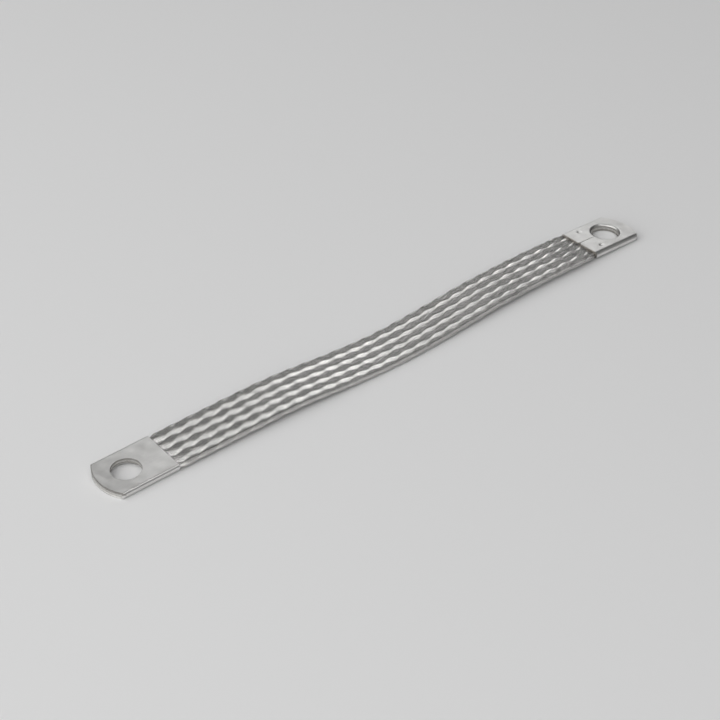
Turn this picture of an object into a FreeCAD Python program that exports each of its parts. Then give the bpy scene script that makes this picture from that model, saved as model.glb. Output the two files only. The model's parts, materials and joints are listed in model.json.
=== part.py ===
"""Grounding strap: a flat tubular braid of tinned copper with a pressed contact sleeve on each end.

The strap lies along X, near end at -X, on the plane Z = 0. A sleeve is one folded sheet: its plain face
is whole, its other face is two flaps that meet in a seam. The near sleeve lies plain face up, the far one
seam up.
"""
import FreeCAD, Part
import itertools
import math
import os
import Sketcher
from FreeCAD import Placement, Rotation, Vector

SIZES = (
    ("overall_length", 200.0),
    ("hole_diameter", 8.5),
    ("sleeve_width", 15.7),
    ("sleeve_thickness", 2.1),
    ("sheet_thickness", 0.5),
    ("plain_bend", 0.7),
    ("seam_bend", 1.15),
    ("seam_gap", 0.24),
    ("flap_edge", 0.3),
    ("flap_corner", 0.9),
    ("tip_reach", 8.55),
    ("mouth_reach", 11.9),
    ("end_radius", 12.9),
    ("end_recess", 0.15),
    ("near_shift", 0.25),
    ("near_corner", 1.1),
    ("far_shift", -1.0),
    ("far_corner", 0.4),
    ("rim_radius", 0.9),
    ("dent_radius", 0.65),
    ("dent_depth", 0.12),
    ("dent_reach", 6.9),
    ("dent_offset", 4.9),
    ("near_tilt", 0.93),
    ("near_roll", 1.6),
    ("far_tilt", 2.27),
    ("far_roll", -1.1),
    ("route_lead", 9.0),
    ("braid_width", 15.2),
    ("braid_thickness", 1.8),
    ("ridge_width", 0.3),
    ("ridge_thickness", 0.4),
    ("float_count", 27),
    ("mouth_fade", 5.0),
)

# Points of the braid's lie between the two straight leads at the sleeves: it humps, dips to the floor and
# humps again.
ROUTE = (
    (-54.0, -0.2, 2.09),
    (-37.0, -0.55, 2.39),
    (-19.0, -1.55, 1.35),
    (0.0, -2.1, 0.9),
    (19.0, -1.25, 1.4),
    (37.0, -0.3, 2.05),
    (54.0, 0.15, 2.2),
)

# Columns round the braid, three to each of its eighteen wales: eight lie on a face and one on each edge.
WALE_STEPS = 3
FACE_STEPS = 8 * WALE_STEPS
EDGE_STEPS = WALE_STEPS
COLUMNS = 2 * (FACE_STEPS + EDGE_STEPS)

# Steps along the braid: six to each float pitch, with a row line across the weave at every third.
ROW_STEPS = WALE_STEPS
PITCH_STEPS = 2 * ROW_STEPS

# The free braid: how far its flats stop short of its edges, the weave's height between two floats, and what
# share of a ridge's height stands up on an edge.
EDGE_ROUND = 0.35
TROUGH = 0.36
EDGE_LEAN = 0.5

# Below this, two places or directions are the same; the braid's faces are sewn at the wider one.
SAME = 1e-6
SEWN = 1e-5

doc = FreeCAD.newDocument("grounding_strap")
sheet = doc.addObject("Spreadsheet::Sheet", "Sizes")
for line, (alias, value) in enumerate(SIZES, start=1):
    sheet.set(f"A{line}", alias)
    sheet.set(f"B{line}", str(value))
    sheet.setAlias(f"B{line}", alias)
doc.recompute()


def size(alias):
    """The value of one named cell of the sheet."""
    return float(sheet.get(alias))


def new_sketch(body, name, role):
    """A sketch on one of the body's own origin planes."""
    sketch = body.newObject("Sketcher::SketchObject", name)
    plane = next(feature for feature in body.Origin.OriginFeatures if feature.Role == role)
    sketch.AttachmentSupport = [(plane, "")]
    sketch.MapMode = "FlatFace"
    return sketch


def segment(x_start, y_start, x_end, y_end):
    return Part.LineSegment(Vector(x_start, y_start), Vector(x_end, y_end))


def arc(centre, radius, start, end):
    """A circular arc about centre, from one angle to another in degrees, anticlockwise."""
    circle = Part.Circle(Vector(*centre), Vector(0, 0, 1), radius)
    return Part.ArcOfCircle(circle, math.radians(start), math.radians(end))


def draw_loop(sketch, curves):
    """Adds a closed chain of curves: ends are tied, and tied smoothly where the directions agree."""
    ids = sketch.addGeometry(curves, False)
    for this, following in zip(ids, ids[1:] + ids[:1]):

        def gap(pair):
            return (sketch.getPoint(this, pair[0]) - sketch.getPoint(following, pair[1])).Length

        ends = min(itertools.product((1, 2), repeat=2), key=gap)
        directions = []
        for index, end in zip((this, following), ends):
            curve = sketch.Geometry[index]
            directions.append(curve.tangent(curve.FirstParameter if end == 1 else curve.LastParameter)[0])
        smooth = directions[0].cross(directions[1]).Length < SAME
        kind = "Tangent" if smooth else "Coincident"
        sketch.addConstraint(Sketcher.Constraint(kind, this, ends[0], following, ends[1]))
    return ids


def level(sketch, horizontal=(), vertical=()):
    """Keeps lines level or upright."""
    for index in horizontal:
        sketch.addConstraint(Sketcher.Constraint("Horizontal", index))
    for index in vertical:
        sketch.addConstraint(Sketcher.Constraint("Vertical", index))


def dimension(sketch, name, kind, where, expression):
    """Adds a named dimension and binds it to the sheet.

    where lists curve and point numbers, smaller place first.
    """
    if kind in ("Radius", "Diameter"):
        value = sketch.Geometry[where[0]].Radius * (1 if kind == "Radius" else 2)
    else:
        first, second = sketch.getPoint(*where[:2]), sketch.getPoint(*where[2:])
        value = second.x - first.x if kind == "DistanceX" else second.y - first.y
    index = sketch.addConstraint(Sketcher.Constraint(kind, *where, value))
    sketch.renameConstraint(index, name)
    sketch.setExpression(f"Constraints.{name}", expression)


def sleeve_section(body):
    """The folded sheet across the strap: one open loop of sheet with rounded folds and a seam below."""
    half, high = size("sleeve_width") / 2, size("sleeve_thickness") / 2
    wall, plain, seam = size("sheet_thickness"), size("plain_bend"), size("seam_bend")
    gap, edge = size("seam_gap") / 2, size("flap_edge")
    sketch = new_sketch(body, "FoldedSection", "YZ_Plane")
    sketch.setExpression("AttachmentOffset.Base.z", "-Sizes.tip_reach")
    draw_loop(sketch, [
        segment(gap, wall - high, gap, edge - high),
        arc((gap + edge, edge - high), edge, 180, 270),
        segment(gap + edge, -high, half - seam, -high),
        arc((half - seam, seam - high), seam, 270, 360),
        segment(half, seam - high, half, high - plain),
        arc((half - plain, high - plain), plain, 0, 90),
        segment(half - plain, high, plain - half, high),
        arc((plain - half, high - plain), plain, 90, 180),
        segment(-half, high - plain, -half, seam - high),
        arc((seam - half, seam - high), seam, 180, 270),
        segment(seam - half, -high, -gap - edge, -high),
        arc((-gap - edge, edge - high), edge, 270, 360),
        segment(-gap, edge - high, -gap, wall - high),
        segment(-gap, wall - high, wall - half, wall - high),
        segment(wall - half, wall - high, wall - half, high - wall),
        segment(wall - half, high - wall, half - wall, high - wall),
        segment(half - wall, high - wall, half - wall, wall - high),
        segment(half - wall, wall - high, gap, wall - high),
    ])
    level(sketch, horizontal=(2, 10, 13, 17), vertical=(0, 4, 8, 12, 14, 16))
    for first, second in ((5, 7), (3, 9), (1, 11)):
        sketch.addConstraint(Sketcher.Constraint("Equal", first, second))
    for first, second in (((6, 1), (6, 2)), ((15, 1), (15, 2)), ((0, 1), (12, 2))):
        sketch.addConstraint(Sketcher.Constraint("Symmetric", *first, *second, -2))
    sketch.addConstraint(Sketcher.Constraint("Horizontal", 10, 1, 2, 2))
    dimension(sketch, "width", "DistanceX", (8, 1, 4, 2), "Sizes.sleeve_width")
    dimension(sketch, "height", "DistanceY", (2, 2, 6, 1), "Sizes.sleeve_thickness")
    dimension(sketch, "plain_face", "DistanceY", (-1, 1, 6, 1), "Sizes.sleeve_thickness / 2")
    dimension(sketch, "plain_wall", "DistanceY", (15, 1, 6, 2), "Sizes.sheet_thickness")
    dimension(sketch, "side_wall", "DistanceX", (15, 2, 4, 2), "Sizes.sheet_thickness")
    dimension(sketch, "seam_wall", "DistanceY", (2, 1, 17, 2), "Sizes.sheet_thickness")
    dimension(sketch, "gap", "DistanceX", (12, 2, 0, 1), "Sizes.seam_gap")
    dimension(sketch, "plain_fold", "Radius", (5,), "Sizes.plain_bend")
    dimension(sketch, "seam_fold", "Radius", (3,), "Sizes.seam_bend")
    dimension(sketch, "edge_round", "Radius", (1,), "Sizes.flap_edge")
    return sketch


def end_arc_centre(end):
    """Centre of a sleeve's arched end in plan; the trimming punch sits a little off the middle."""
    return size("end_radius") - size("tip_reach"), size(f"{end}_shift")


def corner_arc(end, side):
    """Centre of the arc that rounds a corner of the arched end, and its angle seen from the end's centre."""
    half, radius, corner = size("sleeve_width") / 2, size("end_radius"), size(f"{end}_corner")
    centre_x, centre_y = end_arc_centre(end)
    rise = side * (half - corner) - centre_y
    run = math.sqrt((radius - corner) ** 2 - rise ** 2)
    return (centre_x - run, centre_y + rise), math.degrees(math.atan2(rise, -run)) % 360


def end_waste(body, end):
    """What the trimming punch takes off: all that lies outside the arched end and its two rounded corners."""
    half, radius, corner = size("sleeve_width") / 2, size("end_radius"), size(f"{end}_corner")
    left, left_angle = corner_arc(end, 1)
    right, right_angle = corner_arc(end, -1)
    outer, margin = -size("tip_reach") - 2, half + 1
    sketch = new_sketch(body, "EndWaste", "XY_Plane")
    draw_loop(sketch, [
        segment(left[0], half, left[0], margin),
        segment(left[0], margin, outer, margin),
        segment(outer, margin, outer, -margin),
        segment(outer, -margin, right[0], -margin),
        segment(right[0], -margin, right[0], -half),
        arc(right, corner, right_angle, 270),
        arc(end_arc_centre(end), radius, left_angle, right_angle),
        arc(left, corner, 90, left_angle),
    ])
    level(sketch, horizontal=(1, 3), vertical=(0, 4))
    sketch.addConstraint(Sketcher.Constraint("Symmetric", 2, 1, 2, 2, -1))
    sketch.addConstraint(Sketcher.Constraint("Equal", 5, 7))
    sketch.addConstraint(Sketcher.Constraint("Vertical", 7, 3, 0, 1))
    sketch.addConstraint(Sketcher.Constraint("Vertical", 5, 3, 4, 2))
    dimension(sketch, "end_round", "Radius", (6,), "Sizes.end_radius")
    dimension(sketch, "corner_round", "Radius", (7,), f"Sizes.{end}_corner")
    dimension(sketch, "end_centre", "DistanceX", (-1, 1, 6, 3), "Sizes.end_radius - Sizes.tip_reach")
    upward = (-1, 1, 6, 3) if size(f"{end}_shift") > 0 else (6, 3, -1, 1)
    dimension(sketch, "end_shift", "DistanceY", upward, f"abs(Sizes.{end}_shift)")
    dimension(sketch, "width", "DistanceY", (4, 2, 0, 1), "Sizes.sleeve_width")
    dimension(sketch, "left_side", "DistanceY", (-1, 1, 0, 1), "Sizes.sleeve_width / 2")
    dimension(sketch, "past_tip", "DistanceX", (2, 1, -1, 1), "Sizes.tip_reach + 2")
    dimension(sketch, "past_sides", "DistanceY", (2, 2, 2, 1), "Sizes.sleeve_width + 2")
    return sketch


def hole_circle(body, end):
    """The bolt hole, the same in both sleeves."""
    sketch = new_sketch(body, "BoltHole", "XY_Plane")
    sketch.addGeometry(Part.Circle(Vector(), Vector(0, 0, 1), size("hole_diameter") / 2), False)
    sketch.addConstraint(Sketcher.Constraint("Coincident", 0, 3, -1, 1))
    dimension(sketch, "bolt_hole", "Diameter", (0,), "Sizes.hole_diameter")
    return sketch


def rim_spandrel(body):
    """The corner that the punch rolls off the hole on the seam side, to turn about the hole's axis.

    The roll is three equal chords of a quarter circle.
    """
    hole, high, roll = size("hole_diameter") / 2, size("sleeve_thickness") / 2, size("rim_radius")
    turns = [math.radians(turn) for turn in (270, 240, 210, 180)]
    chain = [(hole + roll + roll * math.cos(turn), roll - high + roll * math.sin(turn)) for turn in turns]
    sketch = new_sketch(body, "RolledRim", "XZ_Plane")
    draw_loop(sketch, [
        segment(hole - 1, -high - 1, hole + roll, -high - 1),
        segment(hole + roll, -high - 1, *chain[0]),
        segment(*chain[0], *chain[1]),
        segment(*chain[1], *chain[2]),
        segment(*chain[2], *chain[3]),
        segment(*chain[3], hole - 1, roll - high),
        segment(hole - 1, roll - high, hole - 1, -high - 1),
    ])
    level(sketch, horizontal=(0, 5), vertical=(1, 6))
    quarter = sketch.addGeometry(arc((hole + roll, roll - high), roll, 180, 270), True)
    sketch.addConstraint(Sketcher.Constraint("Coincident", quarter, 2, 2, 1))
    sketch.addConstraint(Sketcher.Constraint("Coincident", quarter, 1, 4, 2))
    for chord in (2, 3):
        sketch.addConstraint(Sketcher.Constraint("PointOnObject", chord, 2, quarter))
        sketch.addConstraint(Sketcher.Constraint("Equal", chord, chord + 1))
    sketch.addConstraint(Sketcher.Constraint("Vertical", quarter, 3, 1, 2))
    sketch.addConstraint(Sketcher.Constraint("Horizontal", quarter, 3, 5, 1))
    dimension(sketch, "roll", "Radius", (quarter,), "Sizes.rim_radius")
    dimension(sketch, "hole_side", "DistanceX", (-1, 1, 5, 1), "Sizes.hole_diameter / 2")
    dimension(sketch, "seam_face", "DistanceY", (1, 2, -1, 1), "Sizes.sleeve_thickness / 2")
    dimension(sketch, "inward", "DistanceX", (5, 2, 5, 1), "1")
    dimension(sketch, "below", "DistanceY", (1, 1, 1, 2), "1")
    return sketch


def flap_notch(body):
    """The two rounded flap corners where the seam runs out at the mouth, in the seam-side sheet only."""
    mouth, gap, corner = size("mouth_reach"), size("seam_gap") / 2, size("flap_corner")
    sketch = new_sketch(body, "FlapCorners", "XY_Plane")
    sketch.setExpression("AttachmentOffset.Base.z", "Sizes.sheet_thickness - Sizes.sleeve_thickness / 2")
    draw_loop(sketch, [
        segment(mouth - corner, -gap, mouth - corner, gap),
        arc((mouth - corner, gap + corner), corner, 270, 360),
        segment(mouth, gap + corner, mouth + 1, gap + corner),
        segment(mouth + 1, gap + corner, mouth + 1, -gap - corner),
        segment(mouth + 1, -gap - corner, mouth, -gap - corner),
        arc((mouth - corner, -gap - corner), corner, 0, 90),
    ])
    level(sketch, horizontal=(2, 4), vertical=(3,))
    sketch.addConstraint(Sketcher.Constraint("Symmetric", 0, 1, 0, 2, -1))
    sketch.addConstraint(Sketcher.Constraint("Equal", 1, 5))
    for index, upright, flat in ((1, (0, 2), (2, 1)), (5, (0, 1), (4, 2))):
        sketch.addConstraint(Sketcher.Constraint("Vertical", index, 3, *upright))
        sketch.addConstraint(Sketcher.Constraint("Horizontal", index, 3, *flat))
    dimension(sketch, "corner", "Radius", (1,), "Sizes.flap_corner")
    dimension(sketch, "gap", "DistanceY", (0, 1, 0, 2), "Sizes.seam_gap")
    dimension(sketch, "mouth", "DistanceX", (-1, 1, 2, 1), "Sizes.mouth_reach")
    dimension(sketch, "past_mouth", "DistanceX", (2, 1, 2, 2), "1")
    return sketch


def dent_circles(body):
    """The two small round dents that the press leaves in the flaps, one on each side of the seam."""
    reach, offset, radius = size("dent_reach"), size("dent_offset"), size("dent_radius")
    sketch = new_sketch(body, "DentCircles", "XY_Plane")
    sketch.setExpression("AttachmentOffset.Base.z", "Sizes.dent_depth - Sizes.sleeve_thickness / 2")
    for side in (-1, 1):
        sketch.addGeometry(Part.Circle(Vector(reach, side * offset), Vector(0, 0, 1), radius), False)
    sketch.addConstraint(Sketcher.Constraint("Symmetric", 0, 3, 1, 3, -1))
    sketch.addConstraint(Sketcher.Constraint("Equal", 0, 1))
    dimension(sketch, "dent", "Radius", (0,), "Sizes.dent_radius")
    dimension(sketch, "reach", "DistanceX", (-1, 1, 1, 3), "Sizes.dent_reach")
    dimension(sketch, "spacing", "DistanceY", (0, 3, 1, 3), "2 * Sizes.dent_offset")
    return sketch


def contact_sleeve(end, placement):
    """One pressed sleeve in its own frame: hole on the Z axis, mouth towards +X, plain face up."""
    body = doc.addObject("PartDesign::Body", f"{end}_sleeve")
    body.Label = f"{end}_sleeve"
    fold = body.newObject("PartDesign::Pad", "FoldedSheet")
    fold.Profile = sleeve_section(body)
    fold.setExpression("Length", "Sizes.tip_reach + Sizes.mouth_reach")
    for name, profile in (("TrimmedEnd", end_waste), ("PunchedHole", hole_circle)):
        cut = body.newObject("PartDesign::Pocket", name)
        cut.Profile = profile(body, end)
        cut.Midplane = True
        cut.setExpression("Length", "2 * Sizes.sleeve_thickness")
    rim = body.newObject("PartDesign::Groove", "RolledHoleRim")
    rim.Profile = rim_spandrel(body)
    rim.ReferenceAxis = (rim.Profile[0], ["V_Axis"])
    rim.Angle = 360
    for name, profile in (("RoundedFlapCorners", flap_notch), ("PressDents", dent_circles)):
        cut = body.newObject("PartDesign::Pocket", name)
        cut.Profile = profile(body)
        cut.setExpression("Length", "Sizes.sleeve_thickness")
    body.Placement = placement
    return body


def sleeve_placement(end):
    """Puts a sleeve on the floor at one end, its mouth raised by the tilt and its +Y side by the roll.

    It stands on the low corner of its lower face: the end of the arched edge, where a fold begins.
    """
    far = end == "far"
    tilt, roll = size(f"{end}_tilt"), size(f"{end}_roll")
    tip, high, radius = size("tip_reach"), size("sleeve_thickness") / 2, size("end_radius")
    lean = math.radians(tilt)
    inward = size("overall_length") / 2 - tip * math.cos(lean) - high * math.sin(lean)
    if far:
        rotation = Rotation(Vector(0, 1, 0), 180 + tilt) * Rotation(Vector(1, 0, 0), -roll)
    else:
        rotation = Rotation(Vector(0, 1, 0), -tilt) * Rotation(Vector(1, 0, 0), roll)
    side = math.copysign(size("sleeve_width") / 2 - size("plain_bend" if far else "seam_bend"), -roll)
    low_end = radius - tip - math.sqrt(radius ** 2 - (side - size(f"{end}_shift")) ** 2)
    foot = rotation.multVec(Vector(low_end, side, high if far else -high))
    return Placement(Vector(inward if far else -inward, 0, -foot.z), rotation)


def braid_route(near, far):
    """The braid's middle line: a smooth quadratic spline out of one sleeve's mouth and into the other's."""
    mouth, lead = size("mouth_reach"), size("mouth_reach") + size("route_lead")
    poles = [near.multVec(Vector(mouth, 0, 0)), near.multVec(Vector(lead, 0, 0))]
    poles += [Vector(*point) for point in ROUTE]
    poles += [far.multVec(Vector(lead, 0, 0)), far.multVec(Vector(mouth, 0, 0))]
    spans = len(poles) - 2
    curve = Part.BSplineCurve()
    curve.buildFromPolesMultsKnots(poles, [3] + [1] * (spans - 1) + [3], list(range(spans + 1)), False, 2)
    return curve.toShape()


def cavity():
    """Half the width and half the height of the space inside a sleeve."""
    wall = size("sheet_thickness")
    return size("sleeve_width") / 2 - wall, size("sleeve_thickness") / 2 - wall


def section_point(column, share, ridge):
    """A point of the braid's section, across and up.

    share runs from 0 at a mouth, where the section is the space inside the sleeve, to 1 in the free braid,
    which is lower, with round edges. ridge is the height of the weave there, from 0 to 1.
    """
    wide, high = size("ridge_width"), size("ridge_thickness")
    bed = (size("braid_width") / 2 - wide, size("braid_thickness") / 2 - high)
    inner = cavity()
    turned = column % (COLUMNS // 2)
    side = 1 if column < COLUMNS // 2 else -1
    if turned <= FACE_STEPS:
        across = 1 - 2 * turned / FACE_STEPS
        boxed = (across * inner[0], inner[1])
        free = (across * (bed[0] - EDGE_ROUND), bed[1])
        outward = (0.0, high)
    else:
        down = 1 - 2 * (turned - FACE_STEPS) / EDGE_STEPS
        boxed = (-inner[0], down * inner[1])
        free = (-bed[0], down * bed[1])
        outward = (-wide, EDGE_LEAN * down * high)
    point = []
    for flat, loose, out in zip(boxed, free, outward):
        point.append(side * (flat + share * (loose - flat) + share * ridge * out))
    return point


def weave_height(column, row):
    """Height of the weave, 0 to 1: floats crest along every second row line and dive at a wale's borders."""
    step = column % (2 * WALE_STEPS)
    if step % WALE_STEPS == 0:
        return 0.0
    bright = step > WALE_STEPS
    crest = (row % 2 == 0) == bright
    return 1.0 if crest else TROUGH


def row_shift(column):
    """How many steps along the strap a row line is moved on one column: it zigzags from wale to wale."""
    return ROW_STEPS - 2 * abs(column % (2 * WALE_STEPS) - WALE_STEPS)


def section_frames(route, count):
    """Middle, sideways and upward direction at even steps along the braid, rolled evenly from end to end."""
    near, far = math.radians(size("near_roll")), math.radians(size("far_roll"))
    frames = []
    for step in range(count + 1):
        along = route.getParameterByLength(min(step / count, 1.0) * route.Length)
        ahead = route.tangentAt(along)
        across = Vector(0, 0, 1).cross(ahead).normalize()
        up = ahead.cross(across)
        roll = near + (far - near) * step / count
        sideways = across * math.cos(roll) + up * math.sin(roll)
        frames.append((route.valueAt(along), sideways, ahead.cross(sideways)))
    return frames


def woven_faces(route):
    """The braid's woven skin as triangles, and the ring of points where it goes into each sleeve.

    Row lines run zigzag round the strap, each wale sloping against its neighbours, half a float pitch apart.
    Past a mouth they are drawn back to it, so that both ends close on a ring of one point for each column.
    """
    last = PITCH_STEPS * int(size("float_count"))
    frames = section_frames(route, last)
    points = {}

    def place(column, row):
        column %= COLUMNS
        step = min(max(ROW_STEPS * row - row_shift(column), 0), last)
        key = (column, step)
        if key not in points:
            inside = min(step, last - step) / last * route.Length / size("mouth_fade")
            share = min(inside, 1.0) ** 2 * (3 - 2 * min(inside, 1.0))
            middle, across, up = frames[step]
            sideways, height = section_point(column, share, weave_height(column, row))
            points[key] = middle + across * sideways + up * height
        return key

    faces = []
    for row in range(-1, last // ROW_STEPS + 1):
        for column in range(COLUMNS):
            beside = column + 1
            corners = [place(column, row), place(beside, row), place(beside, row + 1), place(column, row + 1)]
            rising = row_shift(beside) < row_shift(column)
            halves = ((0, 1, 3), (1, 2, 3)) if rising else ((0, 1, 2), (0, 2, 3))
            for half in halves:
                keys = [corners[index] for index in half]
                if len(set(keys)) == 3:
                    loop = [points[key] for key in keys]
                    faces.append(Part.Face(Part.makePolygon(loop + loop[:1])))
    rings = [[points[(column, step)] for column in range(COLUMNS)] for step in (0, last)]
    return faces, rings


def pressed_end(end, placement, ring):
    """The braid's end as the press leaves it in a sleeve: a flat bar, arched and punched like the sleeve.

    The bar stops a little short of the sleeve's arched end. It is open at the mouth, where its edges are
    broken at the points of the ring.
    """
    half, high = cavity()
    radius, mouth_end = size("end_radius") - size("end_recess"), size("mouth_reach")
    centre_x, centre_y = end_arc_centre(end)
    local = [placement.inverse().multVec(point) for point in ring]

    def flank(side, height):
        across = side * half
        return Vector(centre_x - math.sqrt(radius ** 2 - (across - centre_y) ** 2), across, height)

    def broken_edge(choose):
        run = sorted((point for point in local if choose(point)), key=lambda point: point.y + point.z)
        return [segment_3d(first, second) for first, second in zip(run, run[1:])]

    def segment_3d(first, second):
        return Part.LineSegment(first, second).toShape()

    def arched_edge(height):
        tip = Vector(centre_x - radius, centre_y, height)
        return Part.Arc(flank(-1, height), tip, flank(1, height)).toShape()

    def flank_edge(side, height):
        return segment_3d(flank(side, height), Vector(mouth_end, side * half, height))

    def upright(side):
        return segment_3d(flank(side, -high), flank(side, high))

    def hole_edge(height):
        return Part.makeCircle(size("hole_diameter") / 2, Vector(0, 0, height))

    faces = []
    for height in (-high, high):
        mouth = broken_edge(lambda point: abs(point.z - height) < SAME)
        edges = mouth + [flank_edge(-1, height), arched_edge(height), flank_edge(1, height)]
        rim = Part.Wire(Part.__sortEdges__(edges))
        faces.append(Part.makeFace([rim, Part.Wire(hole_edge(height))], "Part::FaceMakerBullseye"))
    for side in (-1, 1):
        mouth = broken_edge(lambda point: abs(point.y - side * half) < SAME)
        edges = mouth + [flank_edge(side, -high), upright(side), flank_edge(side, high)]
        faces.append(Part.Face(Part.Wire(Part.__sortEdges__(edges))))
    up = Vector(0, 0, 2 * high)
    faces += arched_edge(-high).extrude(up).Faces
    faces += hole_edge(-high).extrude(up).Faces
    for face in faces:
        face.Placement = placement
    return faces


def braid(near, far):
    """The whole braid as one solid: woven between the sleeves, pressed flat inside them."""
    route = braid_route(near, far)
    faces, rings = woven_faces(route)
    faces += pressed_end("near", near, rings[0])
    faces += pressed_end("far", far, rings[1])
    skin = Part.Compound(faces)
    skin.sewShape(SEWN)
    shell = skin.Shells[0]
    solid = Part.Solid(shell)
    if solid.Volume < 0:
        solid.reverse()
    piece = doc.addObject("Part::Feature", "braid")
    piece.Label = "braid"
    piece.Shape = solid
    piece.Placement = Placement()
    return piece


near_place = sleeve_placement("near")
far_place = sleeve_placement("far")
pieces = (
    contact_sleeve("near", near_place),
    contact_sleeve("far", far_place),
    braid(near_place, far_place),
)
doc.recompute()

for item in doc.Objects:
    if "Invalid" in item.State or "Error" in item.State:
        raise RuntimeError(f"{item.Name} did not recompute: {item.State}")
os.makedirs("parts", exist_ok=True)
for piece in pieces:
    if piece.Shape.isNull() or not piece.Shape.isValid() or len(piece.Shape.Solids) != 1:
        raise RuntimeError(f"{piece.Label} is not one sound solid")
    piece.Shape.exportStep(f"parts/{piece.Label}.step")
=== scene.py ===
"""Grounding strap: a flat tubular braid of tinned copper wires with a pressed contact sleeve on each end.

Sizes are in millimetres; a mesh gets them in metres, in the part's own frame. The strap lies along X.
"""
import json
import math

import bmesh
import bpy
import numpy as np
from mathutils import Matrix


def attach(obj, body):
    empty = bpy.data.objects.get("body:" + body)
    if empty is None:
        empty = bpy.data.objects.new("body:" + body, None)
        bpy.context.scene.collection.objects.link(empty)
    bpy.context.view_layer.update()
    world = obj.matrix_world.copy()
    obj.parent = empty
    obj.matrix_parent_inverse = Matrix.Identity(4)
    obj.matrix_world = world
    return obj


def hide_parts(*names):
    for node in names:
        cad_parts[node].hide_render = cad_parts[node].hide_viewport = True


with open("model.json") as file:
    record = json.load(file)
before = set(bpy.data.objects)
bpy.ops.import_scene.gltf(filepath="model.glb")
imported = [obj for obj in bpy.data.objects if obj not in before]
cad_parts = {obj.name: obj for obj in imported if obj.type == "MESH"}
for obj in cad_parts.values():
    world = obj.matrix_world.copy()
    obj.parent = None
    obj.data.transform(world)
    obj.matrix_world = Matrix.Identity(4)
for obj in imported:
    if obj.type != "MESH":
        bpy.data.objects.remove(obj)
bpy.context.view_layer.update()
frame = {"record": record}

# The lie of the strap: each sleeve stands where its hole and contact face are in the record.
# Between the mouths the braid's middle line leaves straight, humps, dips to the floor and humps again.
# The strap also rolls a little about that line.
MM = 0.001
SLEEVE_HIGH = 2.1
MOUTH_REACH = 11.9
ROUTE_LEAD = 9.0
ROUTE_FINENESS = 40
ROUTE = (
    (-54.0, -0.2, 2.09),
    (-37.0, -0.55, 2.39),
    (-19.0, -1.55, 1.35),
    (0.0, -2.1, 0.9),
    (19.0, -1.25, 1.4),
    (37.0, -0.3, 2.05),
    (54.0, 0.15, 2.2),
)
mounts = {mount["name"]: mount for mount in frame["record"]["mounts"]}


def sleeve_frame(end):
    """Origin and axes of one sleeve.

    The hole is on the z axis, the origin at half thickness, the mouth towards x and the plain face towards z.
    """
    hole, face = mounts[end + "_hole"], mounts[end + "_contact_face"]
    z = np.array(face["axis"])
    x = np.cross([0.0, 1.0, 0.0], z)
    x /= np.linalg.norm(x)
    rise = (np.array(face["pos_m"]) - np.array(hole["pos_m"])) @ z / MM - SLEEVE_HIGH / 2
    return np.array(hole["pos_m"]) / MM + rise * z, np.stack([x, np.cross(z, x), z])


def in_sleeve(end, points):
    """Points given in a sleeve's own frame, in the part's frame."""
    origin, axes = sleeve_frame(end)
    return origin + np.asarray(points, float) @ axes


leads = [in_sleeve(end, [(MOUTH_REACH, 0, 0), (MOUTH_REACH + ROUTE_LEAD, 0, 0)]) for end in ("near", "far")]
rolls = [math.asin(sleeve_frame(end)[1][1, 2]) for end in ("near", "far")]
poles = np.concatenate([leads[0], np.array(ROUTE), leads[1][::-1]])
route = bpy.data.curves.new("route", "CURVE")
route.dimensions = "3D"
route.resolution_u = ROUTE_FINENESS
spline = route.splines.new("NURBS")
spline.points.add(len(poles) - 1)
spline.points.foreach_set("co", np.column_stack([poles * MM, np.ones(len(poles))]).ravel())
spline.order_u = 3
spline.use_endpoint_u = True
route_object = bpy.data.objects.new("route", route)
route_mesh = bpy.data.meshes.new_from_object(route_object)
middle_line = np.zeros(len(route_mesh.vertices) * 3)
route_mesh.vertices.foreach_get("co", middle_line)
middle_line = middle_line.reshape(-1, 3) / MM
middle_along = np.concatenate([[0], np.cumsum(np.linalg.norm(np.diff(middle_line, axis=0), axis=1))])
BRAID_LENGTH = middle_along[-1]
bpy.data.objects.remove(route_object)
bpy.data.curves.remove(route)
bpy.data.meshes.remove(route_mesh)


def lie(along):
    """Middle, sideways and upward direction of the braid at distances along it.

    Past a mouth it goes on straight. It rolls evenly about its own line, from one sleeve's roll to the
    other's.
    """
    inside = np.clip(along, 0, BRAID_LENGTH)
    slope = np.gradient(middle_line, middle_along, axis=0)
    middle = np.stack([np.interp(inside, middle_along, middle_line[:, k]) for k in range(3)], -1)
    ahead = np.stack([np.interp(inside, middle_along, slope[:, k]) for k in range(3)], -1)
    ahead /= np.linalg.norm(ahead, axis=-1, keepdims=True)
    middle = middle + (along - inside)[..., None] * ahead
    across = np.cross([0.0, 0.0, 1.0], ahead)
    across /= np.linalg.norm(across, axis=-1, keepdims=True)
    roll = (rolls[0] + (rolls[1] - rolls[0]) * inside / BRAID_LENGTH)[..., None]
    sideways = across * np.cos(roll) + np.cross(ahead, across) * np.sin(roll)
    return middle, sideways, np.cross(ahead, sideways)


# The braid: a tube of 36 flat strands, 18 laid each way, each over two and under two of the others,
# pressed flat into a strap. A strand shows nine tinned copper wires side by side, and its ends are
# tucked into the sleeves.
STRANDS = 18
WIRES = 9
WIRE_POINTS = 4
FLOATS = 27.5
WALE = 1.71
WALE_START = -1.67
WALE_TWIST = 0.3
FLOAT_DRIFT = ((0, 44, 74, 104, 134, 160), (-0.5, -0.5, -1.9, -0.35, 1.1, 2.0))
BED = 0.48
LIFT = 0.17
EDGE_LIFT = 1.6
EDGE_START = 1.1
EDGE_BAND = 0.9
FIRST_CREST = {1: 0.5, -1: 2.5}
FLATNESS = 2.2
STRAND_THICK = 0.36
CROWN = 0.3
WIRE_RIDGE = 0.085
INSIDE_SHARES = (0.8, 0.3, -0.3, -0.8)
IN_LAST_WIRE = 0.01
SWELL = 0.12
WIDTH_WAVES = (31.0, 17.0)
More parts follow.
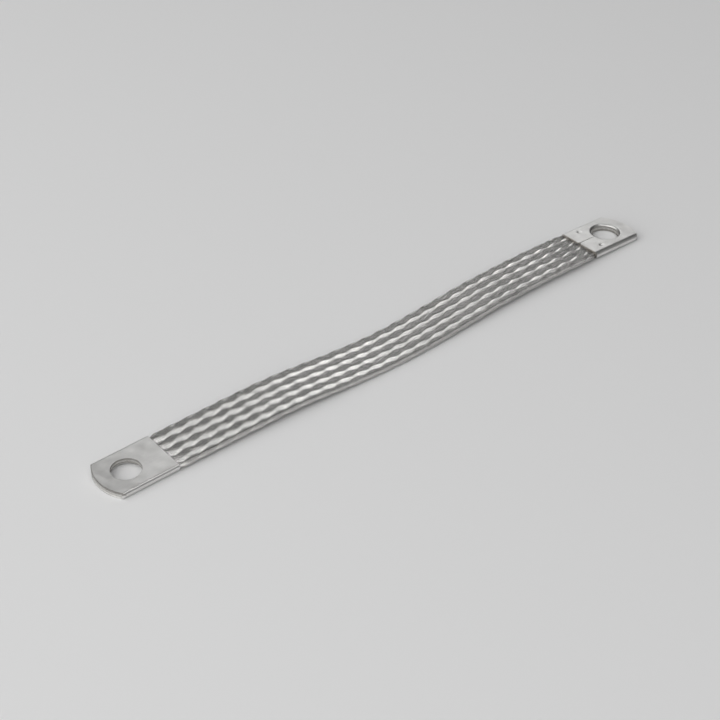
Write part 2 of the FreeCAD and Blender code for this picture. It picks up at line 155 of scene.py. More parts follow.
WIDTH_DRIFT = 0.03
PLACE_WAVES = (43.0, 23.0)
PLACE_DRIFT = 0.035
HEIGHT_WAVES = (13.0, 29.0)
HEIGHT_DRIFT = 0.06
WIRE_UNEVEN = 0.012
MOUTH_SQUEEZE = 0.62
MOUTH_FADE = 0.9
MOUTH_DEEP = 0.75
MOUTH_SPREAD = 2.5
MOUTH_NARROW = 0.045
TUCK = 1.5
END_RINGS = 8
FREE_RINGS = 265
float_pitch = BRAID_LENGTH / FLOATS
chance = np.random.default_rng(16)


def wander(along, waves, size):
    """A slow random drift along each strand: a few sine waves of random phase."""
    drift = np.zeros((STRANDS, len(along)))
    for length in waves:
        phase = chance.uniform(0, 2 * math.pi, (STRANDS, 1))
        drift += np.sin(2 * math.pi * along / length + phase)
    return size * drift[..., None] / math.sqrt(len(waves))


def tube_section(round_tube, out, bed):
    """Across and up on the flattened tube: a stadium of fixed girth, its flats at plus and minus bed.

    round_tube is the way round from the top's middle towards -Y, out is the height over the stadium.
    """
    girth = STRANDS * WALE
    flat = girth / 4 - math.pi * bed / 2
    way = np.mod(round_tube, girth)
    near_turn = np.clip((way - flat) / bed, 0, math.pi)
    under = np.clip(way - flat - math.pi * bed, 0, 2 * flat)
    far_turn = np.clip((way - 3 * flat - math.pi * bed) / bed, 0, math.pi)
    back = np.clip(way - 3 * flat - 2 * math.pi * bed, 0, flat)
    turn = near_turn + far_turn
    across = -np.minimum(way, flat) - bed * np.sin(near_turn) + under + bed * np.sin(far_turn) - back
    up = bed * (np.cos(near_turn) + 1 - np.cos(far_turn))
    return across - out * np.sin(turn), up + out * np.cos(turn)


def strand_profile():
    """Section of a strand: each point's share of the half width, height, depth between wires and wire number.

    Outside, half circles stand side by side on a crowned bed, one for each wire; inside it is nearly flat.
    """
    place = np.linspace(0, WIRES, WIRES * WIRE_POINTS + 1)
    share = 2 * place / WIRES - 1
    over_wire = np.sqrt(np.clip(1 - (2 * (place % 1) - 1) ** 2, 0, 1))
    over_wire[-1] = 0
    outside = STRAND_THICK / 2 * (1 - CROWN * share ** 2) - WIRE_RIDGE * (1 - over_wire)
    inner_share = np.array(INSIDE_SHARES)
    inside = -STRAND_THICK / 2 * (1 - CROWN * inner_share ** 2)
    groove = np.concatenate([1 - over_wire, np.ones(len(inner_share))])
    wire = np.concatenate([np.minimum(place, WIRES - IN_LAST_WIRE), np.full(len(inner_share), WIRES / 2)])
    return np.concatenate([share, inner_share]), np.concatenate([outside, inside]), groove, wire


def strands(lay):
    """Points of all strands of one lay, as strand, ring, profile point, and the values that their tin reads.

    Both lays are numbered by slanting lines round the tube. A strand rises and dives as a flattened cosine of
    the number of the lines that it crosses, one wave for every four, so that it goes over two and under two.
    It rises more on the strap's edges, and at the mouths the tube is squeezed and narrowed into the sleeve.
    The values are the depth between wires, the rise, the wire's number, the way along the strap and the
    nearness to its edges.
    """
    number = np.arange(STRANDS)[:, None, None]
    tucked = np.linspace(-TUCK, TUCK, END_RINGS, endpoint=False)
    free = np.linspace(TUCK, BRAID_LENGTH - TUCK, FREE_RINGS)
    along = np.concatenate([tucked, free, BRAID_LENGTH - tucked[::-1]])
    share, face, groove, wire = strand_profile()
    turns = (along - np.interp(along, *FLOAT_DRIFT))[None, :, None] / float_pitch
    crest = FIRST_CREST[lay]
    centre_phase = math.pi / 2 * (number + 2 * lay * turns + number - crest)
    half = 0.5 * (1 + SWELL * np.cos(centre_phase))
    half = half * (1 + wander(along, WIDTH_WAVES, WIDTH_DRIFT))
    own = number + half * share + wander(along, PLACE_WAVES, PLACE_DRIFT)
    crossed = own + 2 * lay * turns
    wave = np.cos(math.pi / 2 * (crossed + number - crest))
    rise = np.tanh(FLATNESS * wave) / math.tanh(FLATNESS)
    rise = rise + wander(along, HEIGHT_WAVES, HEIGHT_DRIFT)
    uneven = chance.normal(0, WIRE_UNEVEN, (STRANDS, 1, WIRES + 1))[..., np.floor(wire).astype(int)]
    to_mouth = np.minimum(along, BRAID_LENGTH - along)
    inside = np.clip((to_mouth + MOUTH_DEEP) / MOUTH_FADE, 0, 1)
    loose = MOUTH_SQUEEZE + (1 - MOUTH_SQUEEZE) * inside ** 2 * (3 - 2 * inside)
    loose = loose[None, :, None]
    spread = np.clip(to_mouth / MOUTH_SPREAD, 0, 1)[None, :, None]
    spread = spread ** 2 * (3 - 2 * spread)
    twist = (WALE_TWIST * along / BRAID_LENGTH)[None, :, None]
    round_tube = WALE_START + twist + WALE * (own + lay * turns)
    across, _ = tube_section(round_tube, 0.0, BED)
    edge = np.clip((np.abs(across) - STRANDS * WALE / 4 + EDGE_START) / EDGE_BAND, 0, 1)
    lift = LIFT * (1 + EDGE_LIFT * edge * spread)
    across, up = tube_section(round_tube, loose * (lift * rise + face + uneven), loose * BED)
    across = across * (1 - MOUTH_NARROW * (1 - spread))
    middle, sideways, upward = (part[None, :, None, :] for part in lie(along))
    points = middle + across[..., None] * sideways + up[..., None] * upward
    groove = np.broadcast_to(groove, rise.shape)
    wire = np.broadcast_to(wire + 2 * WIRES * number, rise.shape)
    way = np.broadcast_to(along[None, :, None], rise.shape)
    return points, {"groove": groove, "rise": rise, "wire": wire, "way": way, "edge": edge}


def tube_faces(count, rings, around):
    """Faces of count closed tubes of rings times around points: four-sided walls, and a cap on each end."""
    start = (np.arange(count) * rings * around)[:, None, None]
    ring = (np.arange(rings - 1) * around)[None, :, None]
    here = np.arange(around)[None, None, :]
    following = (here + 1) % around
    corners = (start + ring + here, start + ring + following)
    walls = np.stack([corners[0], corners[1], corners[1] + around, corners[0] + around], -1)
    first = start[:, 0] + np.arange(around)[::-1]
    last = start[:, 0] + (rings - 1) * around + np.arange(around)
    return walls.reshape(-1, 4).tolist() + first.tolist() + last.tolist()


def new_piece(name, points, faces):
    """A smooth mesh object of points in millimetres that rides on the part."""
    mesh = bpy.data.meshes.new(name)
    mesh.from_pydata((np.asarray(points).reshape(-1, 3) * MM).tolist(), [], faces)
    mesh.shade_smooth()
    piece = bpy.data.objects.new(name, mesh)
    bpy.context.scene.collection.objects.link(piece)
    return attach(piece, "root")


def keep_values(piece, name, values):
    """Stores one number for each point of a piece, for its material."""
    attribute = piece.data.attributes.new(name, "FLOAT", "POINT")
    attribute.data.foreach_set("value", np.ascontiguousarray(values, np.float32).ravel())


def crease_grooves(piece, around):
    """Marks the edges along the grooves between wires as sharp, so that each wire is shaded round."""
    ends = np.zeros(len(piece.data.edges) * 2, np.int32)
    piece.data.edges.foreach_get("vertices", ends)
    column = ends.reshape(-1, 2) % around
    first, second = column[:, 0], column[:, 1]
    in_groove = (first == second) & (first % WIRE_POINTS == 0) & (first <= WIRES * WIRE_POINTS)
    sharp = piece.data.attributes.new("sharp_edge", "BOOLEAN", "EDGE")
    sharp.data.foreach_set("value", in_groove)


class Shade:
    """An output of a material's nodes. Sums and products of it add Math nodes to the same tree."""

    def __init__(self, tree, socket=None):
        self.tree = tree
        self.socket = socket

    def node(self, kind, settings, sockets, output=0):
        """Adds a node: its settings first, then the value or link of each socket."""
        made = self.tree.nodes.new(kind)
        for name, value in settings.items():
            setattr(made, name, value)
        for name, value in sockets.items():
            if isinstance(value, Shade):
                self.tree.links.new(value.socket, made.inputs[name])
            else:
                made.inputs[name].default_value = value
        return Shade(self.tree, made.outputs[output])

    def maths(self, operation, first, second):
        return self.node("ShaderNodeMath", {"operation": operation}, {0: first, 1: second})

    def __add__(self, other):
        return self.maths("ADD", self, other)

    __radd__ = __add__

    def __mul__(self, other):
        return self.maths("MULTIPLY", self, other)

    __rmul__ = __mul__

    def __sub__(self, other):
        return self.maths("SUBTRACT", self, other)

    def __rsub__(self, other):
        return self.maths("SUBTRACT", other, self)

    def clamped(self):
        return self.node("ShaderNodeClamp", {}, {"Value": self})

    def between(self, low, high):
        """0 below low, 1 above high and a smooth rise between them."""
        settings = {"interpolation_type": "SMOOTHSTEP"}
        return self.node("ShaderNodeMapRange", settings, {"Value": self, "From Min": low, "From Max": high})

    def colours(self, low, high):
        """The colour that lies this share of the way from one to the other."""
        return self.node("ShaderNodeMix", {"data_type": "RGBA"}, {0: self, 6: low, 7: high}, output=2)

    def noise(self, place, scale, detail=3.0, roughness=0.55):
        """Soft random cells about 1 / scale metres wide, from 0 to 1."""
        sockets = {"Vector": place, "Scale": scale, "Detail": detail, "Roughness": roughness}
        return self.node("ShaderNodeTexNoise", {}, sockets)

    def attribute(self, name):
        return self.node("ShaderNodeAttribute", {"attribute_name": name}, {}, output="Fac")

    def feed(self, socket):
        """Links this value to a socket of the shader."""
        self.tree.links.new(self.socket, socket)


def metal(name):
    """A new metal material, the start of its node sums, its shader's sockets and the object coordinates."""
    material = bpy.data.materials.new(name)
    material.use_nodes = True
    tree = material.node_tree
    shader = next(node for node in tree.nodes if node.type == "BSDF_PRINCIPLED")
    shader.inputs["Metallic"].default_value = 1.0
    shade = Shade(tree)
    place = shade.node("ShaderNodeTexCoord", {}, {}, output="Object")
    return material, shade, shader.inputs, place


TIN_BRIGHT = (0.84, 0.83, 0.81, 1)
TIN_DULL_AND_SHADED = (0.35, 0.345, 0.335, 1)
TIN_STAIN_AND_SHADOW = (0.26, 0.235, 0.205, 1)
STREAK_ALONG = 0.12
STREAK_ACROSS = 1.7
GROOVE_PAINTED_SHADE = 0.52
DIP_PAINTED_SHADE = 0.35
EDGE_DARKENING = 0.3
STREAK_FILM = 0.4
PATCH_FILM = 0.25
WIRE_ROUGH = 0.12
FILM_ROUGH = 0.14
STREAK_ROUGH = 0.08
STAIN_SHADOW_START = 2.6
STAIN_SHADOW_FULL = 0.4


def tinned_wire():
    """Bright drawn wires, darkened by painted shade in the grooves between wires and where strands dive under
    others, greyer towards the strap's edges, with streaks along each wire.

    Near the far mouth lie patches of brown stain, partly painted shadow.
    """
    material, shade, sockets, place = metal("tinned_wire")
    groove, rise = shade.attribute("groove"), shade.attribute("rise")
    wire, way = shade.attribute("wire"), shade.attribute("way")
    strung = shade.node("ShaderNodeCombineXYZ", {}, {0: way * STREAK_ALONG, 1: wire * STREAK_ACROSS, 2: 0.0})
    streak = shade.noise(strung, scale=1.0, detail=4.0, roughness=0.6)
    patch = shade.noise(place, scale=70.0, detail=2.0)
    # Painted shade: the grooves between wires and the dips where a strand passes under others are darkened.
    darkening = groove.between(0.4, 1.0) * GROOVE_PAINTED_SHADE + rise.between(0.3, -0.8) * DIP_PAINTED_SHADE
    darkening = darkening + shade.attribute("edge") * EDGE_DARKENING
    darkening = darkening + (streak - 0.5) * STREAK_FILM + (patch - 0.5) * PATCH_FILM
    tin = darkening.clamped().colours(TIN_BRIGHT, TIN_DULL_AND_SHADED)
    # Brown stain near the far mouth, partly painted shadow under the mouth's edge.
    stain_and_shadow = way.between(BRAID_LENGTH - STAIN_SHADOW_START, BRAID_LENGTH - STAIN_SHADOW_FULL) * patch.between(0.25, 0.6)
    stain_and_shadow.colours(tin, TIN_STAIN_AND_SHADOW).feed(sockets["Base Color"])
    rough = WIRE_ROUGH + darkening.clamped() * FILM_ROUGH + streak * STREAK_ROUGH
    rough.feed(sockets["Roughness"])
    return material


strand_metal = tinned_wire()
STRANDS_IN_PIECE = 6
for lay, lay_name in ((1, "bright"), (-1, "grey")):
    points, values = strands(lay)
    _, rings, around, _ = points.shape
    faces = tube_faces(STRANDS_IN_PIECE, rings, around)
    for part in range(STRANDS // STRANDS_IN_PIECE):
        some = slice(part * STRANDS_IN_PIECE, (part + 1) * STRANDS_IN_PIECE)
        piece = new_piece(f"strands_{lay_name}_{part + 1}", points[some], faces)
        crease_grooves(piece, around)
        for name, numbers in values.items():
            keep_values(piece, name, numbers[some])
        piece.data.materials.append(strand_metal)
        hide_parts("braid")

# The pressed ends of the braid: inside each sleeve the copper wires are squeezed into a flat bar,
# arched like the sleeve's end but a little shorter, and punched with it.
# It shows in the hole's wall and between the sheets at the end.
HOLE = 4.25
HALF_WIDE = 7.85
HALF_HIGH = SLEEVE_HIGH / 2
SHEET = 0.5
TIP_REACH = 8.55
END_RADIUS = 12.9
END_SHIFT = {"near": 0.25, "far": -1.0}
END_CORNER = {"near": 1.1, "far": 0.4}
BAR_HALF = 7.3
BAR_RECESS = 0.17
BAR_HOLE = 4.3
BAR_FROM_MOUTH = 0.6
BAR_STEPS = (30, 24, 60, 24)
BAR_SHARP = math.radians(40)
BAR_ROUGH = 0.5
BAR_GRAIN = 0.06
SPECK_MIDDLE = 0.42
SPECK_FILM = 2.2
BAR_PATCH_FILM = 0.8
SPECK_ROUGH = 0.2
CUT_WIRE_BRIGHT = (0.70, 0.69, 0.67, 1)
CUT_WIRE_DULL = (0.26, 0.25, 0.235, 1)


def end_line(end, across):
    """x of the arched end at distances across the sleeve: a circle's arc, rounded off at both corners."""
    across = np.asarray(across, float)
    middle, corner = END_SHIFT[end], END_CORNER[end]
    centre = END_RADIUS - TIP_REACH
    x = centre - np.sqrt(END_RADIUS ** 2 - (across - middle) ** 2)
    for side in (-1, 1):
        corner_y = side * (HALF_WIDE - corner)
        corner_x = centre - math.sqrt((END_RADIUS - corner) ** 2 - (corner_y - middle) ** 2)
        touch = middle + (corner_y - middle) * END_RADIUS / (END_RADIUS - corner)
        rounded = corner_x - np.sqrt(np.clip(corner ** 2 - (across - corner_y) ** 2, 0, None))
        x = np.where(side * (across - touch) > 0, rounded, x)
    return x


def plate_outline(end, half, mouth, recess, steps):
    """Closed outline of a plate in plan: mouth edge, one side, arched end, other side.

    steps counts the points of each of the four.
    """
    share = [np.linspace(0, 1, count, endpoint=False) for count in steps]
    left, right = end_line(end, half) + recess, end_line(end, -half) + recess
    arch = half - 2 * half * share[2]
    x = np.concatenate([
        np.full(steps[0], mouth),
        mouth + (left - mouth) * share[1],
        end_line(end, arch) + recess,
        right + (mouth - right) * share[3],
    ])
    y = np.concatenate([half * (2 * share[0] - 1), np.full(steps[1], half), arch, np.full(steps[3], -half)])
    return np.stack([x, y], -1)


def grid_faces(rows, columns, start, round_columns=False, round_rows=False):
    """Four-sided faces of a grid of points numbered row by row from start; either way may close on itself."""
    row = np.arange(rows if round_rows else rows - 1)[:, None]
    column = np.arange(columns if round_columns else columns - 1)[None, :]
    below, beside = (row + 1) % rows, (column + 1) % columns
    corners = (
        row * columns + column,
        row * columns + beside,
        below * columns + beside,
        below * columns + column,
    )
    return (start + np.stack(corners, -1)).reshape(-1, 4).tolist()


def pressed_wire():
    """Squeezed and cut wire ends: dull and bright specks as small as the wires, greyer in between."""
    material, shade, sockets, place = metal("pressed_wire")
    speck = shade.noise(place, scale=5200.0, detail=2.0, roughness=0.6)
    patch = shade.noise(place, scale=500.0, detail=2.0)
    darkening = (speck - SPECK_MIDDLE) * SPECK_FILM + (patch - 0.5) * BAR_PATCH_FILM
    darkening.clamped().colours(CUT_WIRE_BRIGHT, CUT_WIRE_DULL).feed(sockets["Base Color"])
    rough = BAR_ROUGH + (speck - 0.5) * SPECK_ROUGH
    rough.feed(sockets["Roughness"])
    relief = {"Strength": 0.5, "Distance": BAR_GRAIN * MM, "Height": speck}
    shade.node("ShaderNodeBump", {}, relief).feed(sockets["Normal"])
    return material


bar_metal = pressed_wire()
for end in ("near", "far"):
    outer = plate_outline(end, BAR_HALF, MOUTH_REACH - BAR_FROM_MOUTH, BAR_RECESS, BAR_STEPS)
    inner = BAR_HOLE * outer / np.linalg.norm(outer, axis=1, keepdims=True)
    high = HALF_HIGH - SHEET
    section = ((inner, -high), (inner, high), (outer, high), (outer, -high))
    loops = [np.column_stack([plan, np.full(len(plan), z)]) for plan, z in section]
    faces = grid_faces(4, len(outer), 0, round_columns=True, round_rows=True)
    piece = new_piece(f"pressed_end_{end}", in_sleeve(end, np.concatenate(loops)), faces)
    piece.data.set_sharp_from_angle(angle=BAR_SHARP)
    piece.data.materials.append(bar_metal)
    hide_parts("braid")

# The contact sleeves: each is one sheet of tinned copper folded round the pressed end and flattened in a
# press, which alone holds it. The plain face is whole; on the other face two flaps meet in a seam, with a
# rolled hole rim and a dent on each flap.
PLAIN_FOLD = 0.7
SEAM_FOLD = 1.15
SEAM_HALF = 0.12
SEAM_TIP_HALF = 0.02
FLAP_CORNER = 0.9
RIM_ROLL = 0.9
DENT_PLACE = (6.9, 4.9)
DENT_RADIUS = 0.95
DENT_DEPTH = 0.15
DENT_BOWL = 1.5
CUT_EDGE = 0.07
CUT_ANGLE = math.radians(50)
JOIN_DIGITS = 4
PRESS_HIGH = 0.008
PRESS_WAVES = ((1.3, 0.4, 0.0), (0.5, -1.1, 1.0), (0.7, 0.9, 2.2), (-0.8, 1.9, 0.0))
MOUTH_STEPS = 48
SIDE_STEPS = 40
ARCH_STEPS = 48
FACE_RINGS = 17
FACE_SPREAD = 1.3
FOLD_STEPS = 8
FLAP_CORNER_STEPS = 8
FLAP_MOUTH_STEPS = 40
FLAP_ARCH_STEPS = 28
FLAP_RINGS = 41
ROLL_STEPS = 8


def pressing(x, y):
    """The slight unevenness that the press leaves in a face: a sum of sine waves in plan."""
    return PRESS_HIGH * sum(np.sin(by_x * x + by_y * y + phase) for by_x, by_y, phase in PRESS_WAVES)


def plain_face(end, depth):
    """Rings of points from the hole's edge to the plain face's outline; each point moves on a straight line.

    depth is how far under the sheet's outer skin the points lie, here and in the two functions below.
    """
    steps = (MOUTH_STEPS, SIDE_STEPS, ARCH_STEPS, SIDE_STEPS)
    outer = plate_outline(end, HALF_WIDE - PLAIN_FOLD, MOUTH_REACH, 0.0, steps)
    inner = HOLE * outer / np.linalg.norm(outer, axis=1, keepdims=True)
    share = np.linspace(0, 1, FACE_RINGS)[:, None, None] ** FACE_SPREAD
    plan = inner + share * (outer - inner)
    fade = np.sin(np.pi * share[..., 0])
    high = HALF_HIGH - depth + fade * pressing(plan[..., 0], plan[..., 1])
    return np.concatenate([plan, high[..., None]], -1)


def fold(end, side, depth):
    """One folded edge of the sheet: its section, two arcs of different radius, carried from mouth to end."""
    turn = np.linspace(0, math.pi / 2, FOLD_STEPS)
    plain, seam = PLAIN_FOLD - depth, SEAM_FOLD - depth
    across = np.concatenate([
        HALF_WIDE - PLAIN_FOLD + plain * np.sin(turn),
        HALF_WIDE - SEAM_FOLD + seam * np.cos(turn),
    ])
    up = np.concatenate([
        HALF_HIGH - PLAIN_FOLD + plain * np.cos(turn),
        SEAM_FOLD - HALF_HIGH - seam * np.sin(turn),
    ])
    share = np.linspace(0, 1, SIDE_STEPS + 1)[:, None]
    x = MOUTH_REACH + share * (end_line(end, side * across) - MOUTH_REACH)
    return np.stack([x, np.broadcast_to(side * across, x.shape), np.broadcast_to(up, x.shape)], -1)


def flap(end, side, depth):
    """One flap of the seam face, as half rings from the rolled rim out to the flap's edge.

    The edge runs from the seam round the mouth's corner, along the mouth, the fold and the arched end, back
    to the seam. The rim is a quarter circle into the hole; each dent is a shallow bowl.
    """
    turn = np.linspace(0, math.pi / 2, FLAP_CORNER_STEPS, endpoint=False)
    flat = HALF_WIDE - SEAM_FOLD
    corner = SEAM_HALF + FLAP_CORNER
    mouth = np.linspace(corner, flat, FLAP_MOUTH_STEPS, endpoint=False)
    along = np.linspace(0, 1, SIDE_STEPS, endpoint=False)
    arch = np.linspace(flat, SEAM_TIP_HALF, FLAP_ARCH_STEPS)
    side_end = end_line(end, side * flat)
    x = np.concatenate([
        MOUTH_REACH - FLAP_CORNER * (1 - np.sin(turn)),
        np.full(FLAP_MOUTH_STEPS, MOUTH_REACH),
        MOUTH_REACH + along * (side_end - MOUTH_REACH),
        end_line(end, side * arch),
    ])
    y = np.concatenate([corner - FLAP_CORNER * np.cos(turn), mouth, np.full(SIDE_STEPS, flat), arch])
    outer = np.stack([x, y], -1)
    ray = outer / np.linalg.norm(outer, axis=1, keepdims=True)
    roll = np.linspace(0, math.pi / 2, ROLL_STEPS, endpoint=False)[:, None, None]
    rolled = ray * (HOLE + RIM_ROLL - (RIM_ROLL - depth) * np.cos(roll))
    sunk = np.broadcast_to(RIM_ROLL - (RIM_ROLL - depth) * np.sin(roll), rolled.shape[:2] + (1,))
    share = np.linspace(0, 1, FLAP_RINGS)[:, None, None]
    inner = ray * (HOLE + RIM_ROLL)
    plan = inner + share * (outer - inner)
    off = np.hypot(plan[..., 0] - DENT_PLACE[0], plan[..., 1] - DENT_PLACE[1]) / DENT_RADIUS
    deep = depth + DENT_DEPTH * np.clip(1 - off ** 2, 0, 1) ** DENT_BOWL
    deep += np.sin(np.pi * share[..., 0]) * pressing(plan[..., 0], side * plan[..., 1])
    points = np.concatenate([
        np.concatenate([rolled, sunk], -1),
        np.concatenate([plan, deep[..., None]], -1),
    ])
    points[..., 1] *= side
    points[..., 2] -= HALF_HIGH
    return points


SHEET_BRIGHT = (0.82, 0.815, 0.80, 1)
SHEET_DULL = (0.60, 0.595, 0.58, 1)
SHEET_BROWN_AND_SHADE = (0.24, 0.225, 0.205, 1)
SHEET_FILM = 0.2
GRAIN_FILM = 0.25
RUB_FILM = 0.35
RUB_STRETCH = (0.35, 1.6, 1.0)
SHEET_ROUGH = 0.33
CLOUD_ROUGH = 0.16
GRAIN_ROUGH = 0.08
RIM_ROUGH = 0.08
SHEET_GRAIN = 0.05


def tinned_sheet():
    """Satin tin on pressed copper: faint clouds, fine grain, rubbed streaks.

    Bare copper brown lies on some cut edges, and painted shade in the same brown on the far mouth's edge,
    the folds' arched ends and deep in the rolled rim, as the piece's rim values say.
    """
    material, shade, sockets, place = metal("tinned_sheet")
    cloud = shade.noise(place, scale=190.0, detail=4.0, roughness=0.6)
    grain = shade.noise(place, scale=5000.0, detail=2.0)
    stretched = shade.node("ShaderNodeMapping", {}, {"Vector": place, "Scale": RUB_STRETCH})
    rub = shade.noise(stretched, scale=1500.0, detail=3.0)
    dull = cloud - 0.5 + (grain - 0.5) * GRAIN_FILM + (rub - 0.5) * RUB_FILM + SHEET_FILM
    tin = dull.clamped().colours(SHEET_BRIGHT, SHEET_DULL)
    # Painted shade: the rim values darken the far mouth's edge, the folds' arched ends and the deep rolled
    # rim.
    rim = shade.attribute("rim").between(0.15, 0.85) * (0.45 + cloud * 0.6)
    rim.clamped().colours(tin, SHEET_BROWN_AND_SHADE).feed(sockets["Base Color"])
    rough = SHEET_ROUGH + (cloud - 0.5) * CLOUD_ROUGH + (grain - 0.5) * GRAIN_ROUGH + rim * RIM_ROUGH
    rough.feed(sockets["Roughness"])
    height = grain + cloud * 1.5 + rub * 0.6
    relief = {"Strength": 0.12, "Distance": SHEET_GRAIN * MM, "Height": height}
    shade.node("ShaderNodeBump", {}, relief).feed(sockets["Normal"])
    return material


def sheet_patches(end, depth):
    """The five patches of one skin of a sleeve: plain face, two folds and two flaps."""
    folds = [fold(end, side, depth) for side in (-1, 1)]
    flaps = [flap(end, side, depth) for side in (-1, 1)]
    return [plain_face(end, depth)] + folds + flaps


# Bare copper brown with painted shadow on the far mouth's cut edge; none on the near mouth's.
MOUTH_BROWN_AND_SHADOW = {"near": 0.0, "far": 0.55}
ON_MOUTH = 0.001


def brown_and_painted_shade(end, grids):
    """How brown or shaded each point is.

    Brown lies on the plain hole's edge and on the plain side's arched end. The far mouth's edge gets
    brown with painted shadow, the folds' arched ends painted shade against a corner reflection, and the
    rolled rim brown that grows into painted shade deeper towards the hole.
    """
    tints = [MOUTH_BROWN_AND_SHADOW[end] * (grid[..., 0] > MOUTH_REACH - ON_MOUTH) for grid in grids]
    arch_start = MOUTH_STEPS + SIDE_STEPS
    tints[0][0] = 1
    tints[0][-1, arch_start:arch_start + ARCH_STEPS + 1] = 1
    # Painted shade: the folds' ends at the arched end are darkened, so the corner shows no reflection.
    for darkening in tints[1:3]:
        darkening[-1, :FOLD_STEPS] = 1
    # Painted shade: brown that grows deeper into the rolled rim.
    for darkening, grid in zip(tints[3:], grids[3:]):
        in_rim = np.hypot(grid[..., 0], grid[..., 1]) < HOLE + RIM_ROLL
        darkening += np.clip((grid[..., 2] + HALF_HIGH) / RIM_ROLL, 0, 1) * in_rim
    return np.concatenate([darkening.ravel() for darkening in tints])


def sheet_faces(grids):
    """Faces of one skin: its patches side by side, joined where their points meet.

    Returns the faces, the edges that only one face has, and which of the patches' points are kept.
    """
    points = np.concatenate([grid.reshape(-1, 3) for grid in grids])
    starts = np.cumsum([0] + [grid[..., 0].size for grid in grids])
    faces = [grid_faces(*grid.shape[:2], start) for grid, start in zip(grids[1:], starts[1:])]
    faces = [grid_faces(*grids[0].shape[:2], 0, round_columns=True)] + faces
    places = np.round(points, JOIN_DIGITS) + 0.0
    _, kept, same = np.unique(places, axis=0, return_index=True, return_inverse=True)
    faces = same.ravel()[np.concatenate(faces)]
    edges = np.sort(np.stack([faces, np.roll(faces, -1, axis=1)], -1).reshape(-1, 2), axis=1)
    edges, used = np.unique(edges, axis=0, return_counts=True)
    return faces, edges[used == 1], kept


sheet_metal = tinned_sheet()
for end in ("near", "far"):
    outer, inner = sheet_patches(end, 0.0), sheet_patches(end, SHEET)
    skin, rim, kept = sheet_faces(outer)
    points = [np.concatenate([grid.reshape(-1, 3) for grid in grids])[kept] for grids in (outer, inner)]
    walls = np.column_stack([rim, rim[:, ::-1] + len(kept)])
    faces = np.concatenate([skin, skin[:, ::-1] + len(kept), walls])
    piece = new_piece(f"sleeve_{end}", in_sleeve(end, np.concatenate(points)), faces.tolist())
    darkening = brown_and_painted_shade(end, outer)[kept]
    keep_values(piece, "rim", np.concatenate([darkening, darkening]))
    shell = bmesh.new()
    shell.from_mesh(piece.data)
    bmesh.ops.recalc_face_normals(shell, faces=shell.faces)
    shell.to_mesh(piece.data)
    shell.free()
    cut = piece.modifiers.new("cut_edges", "BEVEL")
    cut.width = CUT_EDGE * MM
    cut.segments = 2
    cut.limit_method = "ANGLE"
    cut.angle_limit = CUT_ANGLE
    cut.harden_normals = True
    piece.data.materials.append(sheet_metal)
    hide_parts(f"{end}_sleeve")

# The setting: the photo's camera, soft lamps, and a pale paper floor that keeps the shadow. A long key lamp,
# a small spot and a top lamp light the rows of the weave, with a faint lamp on the right. Two cards behind
# light the sleeves, and broad lamps on the left and in front light the floor.
VIEW_TURN = 0.6921
VIEW_PITCH = 0.6444
VIEW_TARGET = (-11.19, -0.479, 0.35)
VIEW_DISTANCE = 486.3
VIEW_LENS = 83.75
VIEW_CLIP = 50.0
view_axes = np.array([
    (math.cos(VIEW_TURN), -math.sin(VIEW_TURN), 0.0),
    (math.sin(VIEW_TURN), math.cos(VIEW_TURN), 0.0),
    (0.0, 0.0, 1.0),
])


def looking(thing, place, target, along):
    """Puts a camera or lamp at a place, in millimetres, turned to a target, its own x axis near along."""
    back = np.asarray(place, float) - np.asarray(target, float)
    back /= np.linalg.norm(back)
    side = np.asarray(along, float) - (along @ back) * back
    side /= np.linalg.norm(side)
    matrix = np.eye(4)
    matrix[:3, :3] = np.stack([side, np.cross(back, side), back], -1)
    matrix[:3, 3] = np.asarray(place) * MM
    thing.matrix_world = matrix.T.tolist()


camera = bpy.data.objects.new("camera", bpy.data.cameras.new("camera"))
camera.data.lens = VIEW_LENS
camera.data.clip_start = VIEW_CLIP * MM
sight = np.array([0.0, math.cos(VIEW_PITCH), -math.sin(VIEW_PITCH)]) @ view_axes
looking(camera, np.array(VIEW_TARGET) - VIEW_DISTANCE * sight, VIEW_TARGET, view_axes[0])
bpy.context.scene.collection.objects.link(camera)
bpy.context.scene.camera = camera


def soft_lamp(name, way, along, distance, sides, glow):
    """A rectangular lamp that faces the part's origin from a distance, in millimetres.

    way, its direction, and along, that of its first side, are right, away and up as the camera sees them.
    sides are the lengths of its two sides, and glow is its brightness where 1 is white.
    """
    lamp = bpy.data.lights.new(name, "AREA")
    lamp.shape = "RECTANGLE"
    lamp.size = sides[0] * MM
    lamp.size_y = sides[1] * MM
    lamp.energy = glow * math.pi * lamp.size * lamp.size_y
    thing = bpy.data.objects.new(name, lamp)
    bpy.context.scene.collection.objects.link(thing)
    place = np.array(way) / np.linalg.norm(way) * distance @ view_axes
    looking(thing, place, np.zeros(3), np.array(along) @ view_axes)


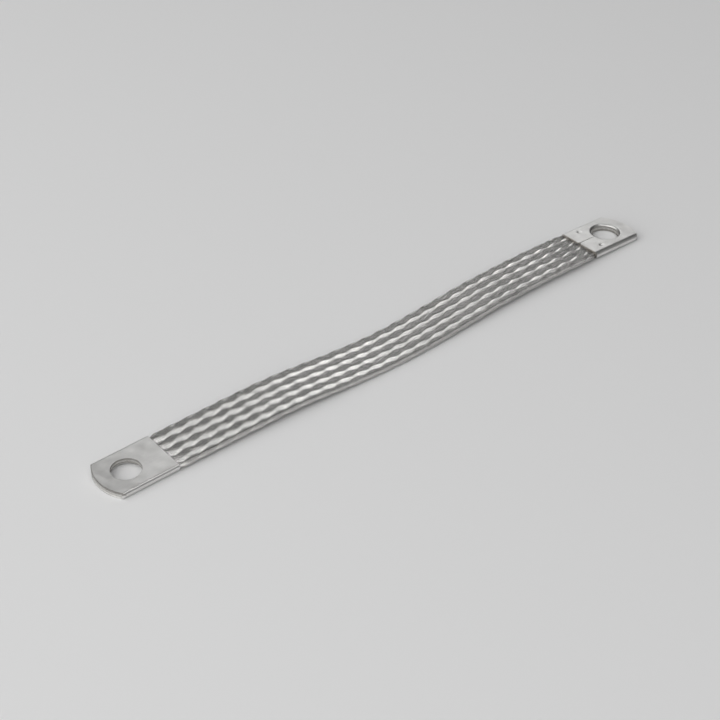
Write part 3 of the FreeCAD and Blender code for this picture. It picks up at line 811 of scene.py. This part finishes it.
soft_lamp("key", way=(0.411, -0.341, 0.845), along=(0.36, -0.8, -0.48),
          distance=2430, sides=(3200, 900), glow=0.57)
soft_lamp("spot", way=(0.38, -0.33, 0.865), along=(1.0, 0.0, 0.0),
          distance=1500, sides=(260, 260), glow=1.7)
soft_lamp("top", way=(0.32, 0.12, 0.94), along=(0.39, -0.86, -0.02),
          distance=1500, sides=(520, 330), glow=2.3)
soft_lamp("right", way=(0.86, -0.1, 0.48), along=(0.0, 1.0, 0.0),
          distance=1500, sides=(640, 1100), glow=0.22)
soft_lamp("card", way=(0.02, 0.80, 0.60), along=(1.0, 0.0, 0.0),
          distance=1500, sides=(850, 620), glow=1.14)
soft_lamp("back", way=(0.07, 0.98, 0.21), along=(1.0, 0.0, 0.0),
          distance=1500, sides=(400, 530), glow=0.6)
soft_lamp("fill", way=(-0.75, -0.25, 0.6), along=(0.0, 1.0, 0.0),
          distance=1200, sides=(1900, 1900), glow=1.2)
soft_lamp("front", way=(-0.2, -0.84, 0.5), along=(1.0, 0.0, 0.0),
          distance=1400, sides=(2000, 1800), glow=1.0)

ROOM_GREY = 0.056
world = bpy.data.worlds.new("room")
bpy.context.scene.world = world
world.use_nodes = True
world.node_tree.nodes["Background"].inputs["Color"].default_value = (ROOM_GREY, ROOM_GREY, ROOM_GREY, 1)

FLOOR_HALF = 2000.0
FLOOR_PALE = 0.82
FLOOR_ROUGH = 0.9
floor_mesh = bpy.data.meshes.new("floor")
corners = FLOOR_HALF * MM * np.array([(-1, -1, 0), (1, -1, 0), (1, 1, 0), (-1, 1, 0)])
floor_mesh.from_pydata(corners.tolist(), [], [(0, 1, 2, 3)])
floor = bpy.data.objects.new("floor", floor_mesh)
bpy.context.scene.collection.objects.link(floor)
paper = bpy.data.materials.new("floor_paper")
paper.use_nodes = True
paper_sockets = paper.node_tree.nodes["Principled BSDF"].inputs
paper_sockets["Base Color"].default_value = (FLOOR_PALE, FLOOR_PALE, FLOOR_PALE, 1)
paper_sockets["Roughness"].default_value = FLOOR_ROUGH
floor_mesh.materials.append(paper)

bpy.context.scene.view_settings.view_transform = "Standard"
